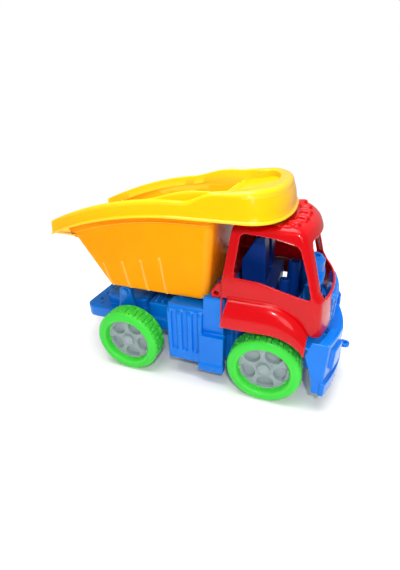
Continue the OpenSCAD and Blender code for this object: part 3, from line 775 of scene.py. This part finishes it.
def tyreProfile():
    # (radius, inward from the outer face), closed, starting at the seat of the disc
    s = tyreShape
    r, w, turn = s["radius"], s["width"], s["shoulder"]
    disc, lip, depth = s["disc"], s["lip"], s["depth"]
    points = [(disc, depth), (disc + 0.4, depth - 3), (lip - 0.2, 2.4), (lip + 0.5, 1.0), (lip + 1.6, 0.3),
              (lip + 3.2, 0.0), (r - turn - 0.8, 0.0)]
    for k in range(1, 9):
        a = math.radians(90 * k / 8)
        points.append((r - turn + turn * math.sin(a), turn * (1 - math.cos(a)) * 0.8))
    flat = [turn * 0.8 + (w - 1.6 * turn) * k / 44 for k in range(1, 44)]
    points += [(r, d) for d in flat]
    for k in range(0, 8):
        a = math.radians(90 * (1 - k / 8))
        points.append((r - turn + turn * math.sin(a), w - turn * (1 - math.cos(a)) * 0.8))
    points += [(r - turn, w), (disc + 6, w), (disc + 4.2, w - 0.8), (disc + 3.5, w - 3),
               (disc + 1.8, depth + 6.5), (disc + 1.4, depth + 3.2), (disc, depth + 3.0)]
    return points


def treadDepth(theta, across):
    # Depth of the zigzag groove between the two rows of interlocking lugs
    s = tyreShape
    mid = s["width"] / 2
    phase = theta * s["lugs"]
    wave = math.sin(phase)
    level = math.tanh(s["square"] * wave) / math.tanh(s["square"])
    steep = s["square"] * math.cos(phase) * (1 - math.tanh(s["square"] * wave) ** 2) / math.tanh(s["square"])
    slope = s["lugs"] / s["radius"] * s["swing"] * steep
    away = abs(across - mid - s["swing"] * level) / math.sqrt(1 + slope * slope)
    return s["groove"] * (1 - smoothStep((away - s["grooveHalf"] * 0.5) / s["grooveHalf"]))


def makeTyre(corner):
    place, side = corners[corner]
    bm = bmesh.new()
    profile = tyreProfile()
    rows = []
    for i in range(tyreShape["steps"]):
        theta = 2 * math.pi * i / tyreShape["steps"]
        c, s = math.cos(theta), math.sin(theta)
        row = []
        for radius, inward in profile:
            if radius > tyreShape["radius"] - tyreShape["treadEdge"]:
                fade = 1 - smoothStep((tyreShape["radius"] - radius) / tyreShape["treadEdge"])
                radius -= treadDepth(theta, inward) * fade
            row.append((place + radius * c, side * (outerY - inward), tyreShape["radius"] + radius * s))
        rows.append(row)
    addGrid(bm, rows, closeRow=True, closeRows=True)
    seat = outerY - tyreShape["depth"]
    for i in range(tyreShape["tabs"]):
        # Small tabs that hold the disc in the tyre
        theta = 2 * math.pi * (i + 0.25) / tyreShape["tabs"]
        spin = Matrix.Translation((place, 0, tyreShape["radius"])) @ Matrix.Rotation(-theta, 4, "Y")
        outline = rounded(tabOutline, 0.5, 3)
        high, low = side * (seat + tyreShape["tabThick"]), side * (seat + 0.02)
        joinRings(bm, [[bm.verts.new(spin @ Vector((x, y, z))) for x, z in outline] for y in (low, high)])
    return asObject(bm, "tyreRing_" + corner)


discShape = {"spokes": 5, "pocketAt": 22.6, "pocketRadius": 10.2, "pocketRim": 27.4, "pocketDepth": 5.6,
             "phase": -82.0, "backDepth": 3.9, "bore": 3.1, "rim": 30.8, "tube": 7.5, "thick": 3.0,
             "steps": 300, "ringDepth": 0.5, "hubDepth": 0.7}


def discHeight(radius, theta):
    # Depth of the disc's face below its plane
    s = discShape
    depth = 0.0
    for k in range(s["spokes"]):
        a = 2 * math.pi * k / s["spokes"] + math.radians(s["phase"])
        dx = radius * math.cos(theta) - s["pocketAt"] * math.cos(a)
        dy = radius * math.sin(theta) - s["pocketAt"] * math.sin(a)
        away = max(math.hypot(dx, dy) - s["pocketRadius"], radius - s["pocketRim"])
        depth = max(depth, s["pocketDepth"] * smoothStep(0.5 - away))
    ring = s["ringDepth"] * smoothStep((radius - 27.6) / 0.9) * (1 - smoothStep((radius - 29.4) / 0.8))
    hub = s["hubDepth"] * smoothStep((radius - 8.2) / 0.8) * (1 - smoothStep((radius - 10.4) / 1.2))
    return max(depth, ring, hub)


def makeDisc(corner):
    place, side = corners[corner]
    d = discShape
    face = outerY - tyreShape["depth"]
    tube = drawingBox("disc_" + corner)
    inner = min(abs(tube[0].y), abs(tube[1].y))
    rows = []
    for i in range(d["steps"]):
        theta = 2 * math.pi * i / d["steps"]
        c, s = math.cos(theta), math.sin(theta)
        front = [d["bore"] + (30.6 - d["bore"]) * k / 58 for k in range(59)]
        line = [(r, face - 0.05 - discHeight(r, theta)) for r in front]
        line += [(d["rim"], face - 0.6), (d["rim"], face - 2.6)]
        for k in range(31):
            r = 30.4 - 0.7 * k
            sunk = discHeight(r * 0.98, theta) / d["pocketDepth"]
            line.append((r, face - d["thick"] - d["backDepth"] * sunk))
        line += [(d["tube"], face - 3.2), (d["tube"], inner + 0.6), (7.1, inner), (d["bore"], inner)]
        rows.append([(place + r * c, side * y, tyreShape["radius"] + r * s) for r, y in line])
    bm = bmesh.new()
    addGrid(bm, rows, closeRow=True, closeRows=True)
    return asObject(bm, "wheelDisc_" + corner)


def makeHubCap(corner):
    place, side = corners[corner]
    low, high = drawingBox("hub_cap_" + corner)
    inner, outer = sorted((abs(low.y), abs(high.y)))
    profile = [(5.4, inner), (7.3, inner), (7.5, inner + 0.4), (7.5, outer - 1.9), (7.2, outer - 1.2),
               (6.6, outer - 0.7), (6.1, outer - 0.5), (5.7, outer - 0.75), (5.2, outer - 0.75),
               (4.8, outer - 0.45), (4, outer - 0.2), (2, outer - 0.05), (0.05, outer),
               (0.05, inner + 2.9), (5.4, inner + 2.9)]
    bm = bmesh.new()
    turned(bm, [(r, side * y) for r, y in profile], (place, 0, tyreShape["radius"]), "y", 72, closed=True)
    return asObject(bm, "hubCap_" + corner)


for corner in corners:
    body = "front_wheels" if corner.startswith("front") else "rear_wheels"
    finishPiece(makeTyre(corner), body, ["tyre_" + corner], greenPlastic, angle=60)
    finishPiece(makeDisc(corner), body, ["disc_" + corner], greyPlastic, angle=50)
    finishPiece(makeHubCap(corner), body, ["hub_cap_" + corner], greyPlastic, angle=50)

# Cab with its mudguards, roof lamps and rear lugs

cabShape = {"turn": 70.0, "wall": 2.5, "corner": 9.0, "rearCorner": 4.0, "half": 74.0, "roof": 216.8,
            "edge": 209.0, "foot": 92.0, "slice": 1.7}


def blendLine(points, t):
    for (a, va), (b, vb) in zip(points, points[1:]):
        if t <= b:
            return va + (vb - va) * (t - a) / (b - a)
    return points[-1][1]


# Nose radius, rear face and half width of the cab at heights above the floor
frontLine = [(90, 186.5), (98, 186), (120, 184.2), (136, 182.6), (141, 181.8), (146, 179.2), (150, 176.6),
             (160, 173.4), (204, 158.4), (209, 156.2)]
rearLine = [(90, 127), (148, 127), (152, 127.4), (214, 136)]
sideLine = [(90, 74), (146, 74), (150, 73.8), (156, 73.2), (212, 66)]


def cabPlan(front, rear, half, corner):
    # Plan of the cab at one height, from the rear right corner round the nose
    turn = cabShape["turn"]
    right = []
    small = cabShape["rearCorner"]
    for k in range(7):
        a = math.radians(180 + 90 * k / 6)
        right.append((rear + small + small * math.cos(a), -half + small + small * math.sin(a)))
    centreR = front - corner
    cy = half - corner
    cx = turn + math.sqrt(centreR * centreR - cy * cy)
    start = rear + small
    for k in range(1, 26):
        right.append((start + (cx - start) * k / 26, -half))
    a0, a1 = -90.0, -math.degrees(math.asin(cy / centreR))
    for k in range(13):
        a = math.radians(a0 + (a1 - a0) * k / 12)
        right.append((cx + corner * math.cos(a), -cy + corner * math.sin(a)))
    for k in range(1, 31):
        a = math.radians(a1 * (1 - k / 30))
        right.append((turn + front * math.cos(a), front * math.sin(a)))
    left = [(x, -y) for x, y in reversed(right[:-1])]
    back = [(rear, (half - small) * (1 - k / 12)) for k in range(1, 24)]
    return right + left + back


def makeCabSkin():
    bm = bmesh.new()
    rows = []
    s = cabShape
    z = s["foot"]
    while z < s["edge"] + 0.01:
        rows.append([(x, y, z) for x, y in cabPlan(blendLine(frontLine, z), blendLine(rearLine, z),
                                                   blendLine(sideLine, z), s["corner"])])
        z += s["slice"]
    baseZ = z - s["slice"]
    front, rear, half = blendLine(frontLine, baseZ), blendLine(rearLine, baseZ), blendLine(sideLine, baseZ)
    rise = s["roof"] - baseZ
    for k in range(1, 10):
        a = math.radians(90 * k / 9)
        pull = 1 - math.cos(a)
        height = baseZ + rise * math.sin(a)
        rows.append([(x, y, height) for x, y in
                     cabPlan(front - 2.4 * math.sin(a) - 12 * pull, rear + 1.0 * math.sin(a) + 6.5 * pull,
                             half - 1.0 * math.sin(a) - 8 * pull, s["corner"])])
    last = rows[-1]
    centre = sum(p[0] for p in last) / len(last)
    for k in (0.15, 0.35, 0.6, 0.8, 0.93):
        height = s["roof"] + 0.5 * smoothStep(k)
        rows.append([(x + (centre - x) * k, y * (1 - k), height) for x, y, _ in last])
    made = addGrid(bm, rows, closeRow=True)
    bm.faces.new(made[-1])
    return asObject(bm, "cabShell")


# Arcs of the mudguard in side view: (centre, radius) where it leaves the cab, and at its lip
guardShape = {"high": ((178, 73.5), 57.5), "lip": ((188, 52), 48), "highTurn": 62, "lipTurn": 56, "thick": 2.5,
              "top": 133, "rear": 131, "rearLip": 99, "door": 137}


def guardArc(line, angle):
    (x, z), radius = guardShape[line]
    a = math.radians(angle)
    return x + radius * math.sin(a), z + radius * math.cos(a)


def makeGuard(side):
    # Mudguard: a curved sheet from the door's edge out and down to the lip over the tyre
    g = guardShape
    stations = []
    for k in range(13):
        t = k / 12
        high = (g["door"] + (g["high"][0][0] - g["door"]) * t, g["top"])
        low = (g["rear"] + (g["lip"][0][0] - g["rear"]) * t, g["rearLip"] + smoothStep(t))
        stations.append((high, low))
    for k in range(1, 33):
        x, z = guardArc("high", g["highTurn"] * k / 32)
        stations.append(((x, z + 2), guardArc("lip", g["lipTurn"] * k / 32)))
    inner, outer = cabShape["half"] - 1.0, outerY + 1.0
    rows = []
    for high, low in stations:
        row, back = [], []
        for k in range(15):
            a = math.radians(90 * k / 14)
            fall = 1 - math.cos(a)
            for line, thick in ((row, 0.0), (back, g["thick"])):
                top = high[1] - thick
                line.append((high[0] + (low[0] - high[0]) * fall,
                             side * (inner + (outer - thick - inner) * math.sin(a)),
                             top + (low[1] - top) * fall))
        rows.append(row + list(reversed(back)))
    bm = bmesh.new()
    capEnds(bm, addGrid(bm, rows, closeRow=True))
    return asObject(bm, "guard")


def join(first, *others):
    bm = bmesh.new()
    bm.from_mesh(first.data)
    for other in others:
        bm.from_mesh(other.data)
        bpy.data.objects.remove(other)
    bm.to_mesh(first.data)
    bm.free()
    return first


windowOutline = [(141, 158), (146.3, 207.6), (171, 206), (186, 204.4), (207.5, 199.5), (219.5, 168),
                 (227, 142.5), (210, 146), (190, 151), (170, 156)]
windowRadii = [4, 6, 30, 25, 13, 40, 3, 30, 60, 60]
screenOutline = [(-63, 141), (63, 141), (54, 202.5), (-54, 202.5)]
noseOutline = [(-38.6, 60), (38.6, 60), (38.6, 136.6), (-38.6, 136.6)]
footOutline = [(114, 125), (131, 125), (131, 147), (122, 144), (114, 134)]
lampShape = {"count": 5, "step": 25, "at": 140, "radius": 5.2, "length": 9, "down": 10, "up": 4.0}
lugShape = {"x": 194, "y": 56, "radius": 5, "length": 12, "down": 12, "up": 1.6}
footShape = {"inner": 58, "outer": 66, "hole": 3.0, "holeX": 120, "holeZ": 131}
pegShape = {"x": 134, "y": 45, "radius": 4.2, "low": 125, "high": 151}


def addFoot(bm, side):
    # Lug at the foot of the cab's rear wall, with a round hole through it
    f = footShape
    block, hole = bmesh.new(), bmesh.new()
    prism(block, rounded(footOutline, 1.5), side * f["inner"], side * f["outer"])
    foot = asObject(block, "foot")
    turned(hole, [(f["hole"], -80), (f["hole"], 80)], (f["holeX"], 0, f["holeZ"]), "y", 32)
    combine(foot, asObject(hole, "hole"), "DIFFERENCE")
    bm.from_mesh(foot.data)
    bpy.data.objects.remove(foot)


def makeCab():
    cab = makeCabSkin()
    thick = cab.modifiers.new("thick", "SOLIDIFY")
    thick.thickness = cabShape["wall"]
    thick.offset = -1
    bake(cab)
    cutters = bmesh.new()
    arch = [(129.6, 60), (129.6, 131)] + [guardArc("high", guardShape["highTurn"] * k / 24) for k in range(25)]
    arch += [(232, 99), (300, 97), (300, 60)]
    prism(cutters, arch, -120, 120)
    prism(cutters, rounded(windowOutline, windowRadii), -121, 121)
    combine(cab, asObject(cutters, "cutters"), "DIFFERENCE")
    cutters = bmesh.new()
    prism(cutters, rounded(screenOutline, [6, 6, 8, 8]), 208, 300, axis="x")
    prism(cutters, rounded(noseOutline, [1, 1, 8, 8]), 229, 300, axis="x")
    combine(cab, asObject(cutters, "cutters"), "DIFFERENCE")
    extras = bmesh.new()
    roof = cabShape["roof"]
    lamp = lampShape
    for i in range(lamp["count"]):
        turn = math.asin((i - (lamp["count"] - 1) / 2) * lamp["step"] / lamp["at"])
        spin = Matrix.Translation((cabShape["turn"], 0, 0)) @ Matrix.Rotation(turn, 4, "Z")
        spin = spin @ Matrix.Translation((lamp["at"], 0, 0))
        addLamp(extras, spin, lamp["radius"], lamp["length"], roof - lamp["down"], roof + lamp["up"])
    lug, peg = lugShape, pegShape
    for side in (-1, 1):
        spin = Matrix.Translation((lug["x"], side * lug["y"], 0))
        addLamp(extras, spin, lug["radius"], lug["length"], roof - lug["down"], roof + lug["up"])
        addFoot(extras, side)
        turned(extras, [(peg["radius"], peg["low"]), (peg["radius"], peg["high"])],
               (peg["x"], side * peg["y"], 0), "z", 32)
    bmesh.ops.recalc_face_normals(extras, faces=extras.faces)
    join(cab, makeGuard(-1), makeGuard(1), asObject(extras, "extras"))
    soften(cab, 0.9, 4, 0.55)
    return cab


def addLamp(bm, spin, radius, length, low, high):
    outline = []
    for k in range(13):
        a = math.radians(-90 + 180 * k / 12)
        outline.append((radius * math.cos(a), radius * math.sin(a)))
    outline += [(-length, radius * 0.8), (-length, -radius * 0.8)]
    levels = [(low, 1.0), (high - 1.6, 1.0), (high - 0.5, 0.9), (high, 0.72)]
    rows = [[spin @ Vector((x * k, y * k, z)) for x, y in outline] for z, k in levels]
    capEnds(bm, addGrid(bm, rows, closeRow=True))


finishPiece(makeCab(), "truck", ["cab_shell"], redPlastic, angle=60)

# Blue mouldings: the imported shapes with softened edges

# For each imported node: new piece, finish, material, voxel, smoothing rounds, share of faces kept
softened = {
    "chassis": ("chassisFrame", "blue_plastic", bluePlastic, 1.0, 4, 0.25),
    "bumper": ("bumperShell", "blue_plastic", bluePlastic, 0.8, 4, 0.4),
    # The seat unit takes the shaded blue: painted shade inside the cab
    "seat_unit": ("seats", "dark_blue_plastic", shadedBluePlastic, 0.9, 4, 0.4),
    "dashboard": ("dashboardUnit", "dark_blue_plastic", bluePlastic, 0.9, 4, 0.4),
}


def copyOf(node, name):
    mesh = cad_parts[node].data.copy()
    mesh.transform(toDrawing)
    piece = bpy.data.objects.new(name, mesh)
    scene.collection.objects.link(piece)
    bm = bmesh.new()
    bm.from_mesh(mesh)
    bmesh.ops.remove_doubles(bm, verts=bm.verts, dist=0.0005)
    bm.to_mesh(mesh)
    bm.free()
    return piece


for node, (name, slotName, material, voxel, rounds, keep) in softened.items():
    piece = copyOf(node, name)
    soften(piece, voxel, rounds, keep)
    finishPiece(piece, "truck", [node], material, angle=60)


def makePost(node, name):
    low, high = drawingBox(node)
    centre = ((low.x + high.x) / 2, (low.y + high.y) / 2, 0)
    r, top, base = (high.x - low.x) / 2, high.z, low.z
    t = r - 1.0
    profile = [(0.05, base), (r, base), (r - 0.1, base + 2), (t + 0.1, top - 2.2), (t - 0.2, top - 0.9),
               (t - 0.9, top - 0.15), (t - 1.6, top), (t - 2.2, top - 0.4), (t - 2.6, top - 1.3),
               (t - 3.2, top - 1.6), (1.8, top - 1.6), (1.4, top - 1.0), (0.8, top - 0.8), (0.05, top - 0.8)]
    bm = bmesh.new()
    turned(bm, profile, centre, "z", 64, closed=True)
    return asObject(bm, name)


# The posts take the shaded blue as well: painted shade inside the cab
for node, name in (("steering_column", "steeringPost"), ("gear_post", "gearPost")):
    finishPiece(makePost(node, name), "truck", [node], shadedBluePlastic)

# Pin and metal pieces that stay as packed

kept = {"hinge_pin": bluePlastic, "front_axle": brightSteel, "rear_axle": brightSteel,
        "front_push_nuts": springSteel, "rear_push_nuts": springSteel, "screws": zincSteel}
for node, material in kept.items():
    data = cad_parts[node].data
    data.materials.clear()
    data.materials.append(material)
print("pin and metal finished")

# Paper floor, lights and background

stageLook = {"floor": (0.93, 0.93, 0.93), "floorRough": 0.9, "floorShine": 0.1, "reach": 0.85, "world": 0.36}
lightLook = {
    "keyLight": {"spot": (-0.1, 0.0, 1.3), "aim": (0.0, 0.0, 0.1), "size": 0.9, "power": 11.0},
    "fillLight": {"spot": (0.6, -1.0, 0.6), "aim": (0.05, 0.0, 0.12), "size": 0.5, "power": 2.6},
    "skyLight": {"spot": (0.0, 0.0, 2.0), "aim": (0.0, 0.0, 0.0), "size": 2.0, "power": 26.0},
    "flashLight": {"spot": (0.2, -0.55, 0.55), "aim": (0.08, -0.05, 0.12), "size": 0.04, "power": 1.8},
}


def addFloor():
    # Round table of matt paper
    bm = bmesh.new()
    turns = [math.radians(5 * k) for k in range(72)]
    reach = stageLook["reach"]
    rings = [[(r * math.cos(a), r * math.sin(a), 0.0) for a in turns] for r in (0.05, reach * 0.5, reach)]
    made = addGrid(bm, rings, closeRow=True)
    bm.faces.new(made[0])
    floor = asObject(bm, "floor")
    material = bpy.data.materials.new("floorPaper")
    material.use_nodes = True
    shader = material.node_tree.nodes["Principled BSDF"]
    shader.inputs["Base Color"].default_value = (*stageLook["floor"], 1)
    shader.inputs["Roughness"].default_value = stageLook["floorRough"]
    shader.inputs["Specular IOR Level"].default_value = stageLook["floorShine"]
    floor.data.materials.append(material)


def addLight(name, spot, aim, size, power):
    data = bpy.data.lights.new(name, "AREA")
    data.shape = "DISK"
    data.size = size
    data.energy = power
    light = bpy.data.objects.new(name, data)
    light.location = spot
    light.rotation_euler = (Vector(aim) - Vector(spot)).to_track_quat("-Z", "Y").to_euler()
    scene.collection.objects.link(light)


addFloor()
for name, look in lightLook.items():
    addLight(name, **look)
world = bpy.data.worlds.new("studio")
world.use_nodes = True
sky = world.node_tree
backdrop = sky.nodes["Background"]
backdrop.inputs["Color"].default_value = (1, 1, 1, 1)
# White to the camera, dimmer as a light
seen = addNode(sky, "ShaderNodeLightPath").outputs["Is Camera Ray"]
sky.links.new(remap(sky, seen, 0.0, 1.0, stageLook["world"]), backdrop.inputs["Strength"])
scene.world = world
scene.view_settings.view_transform = "Standard"
print("stage set")
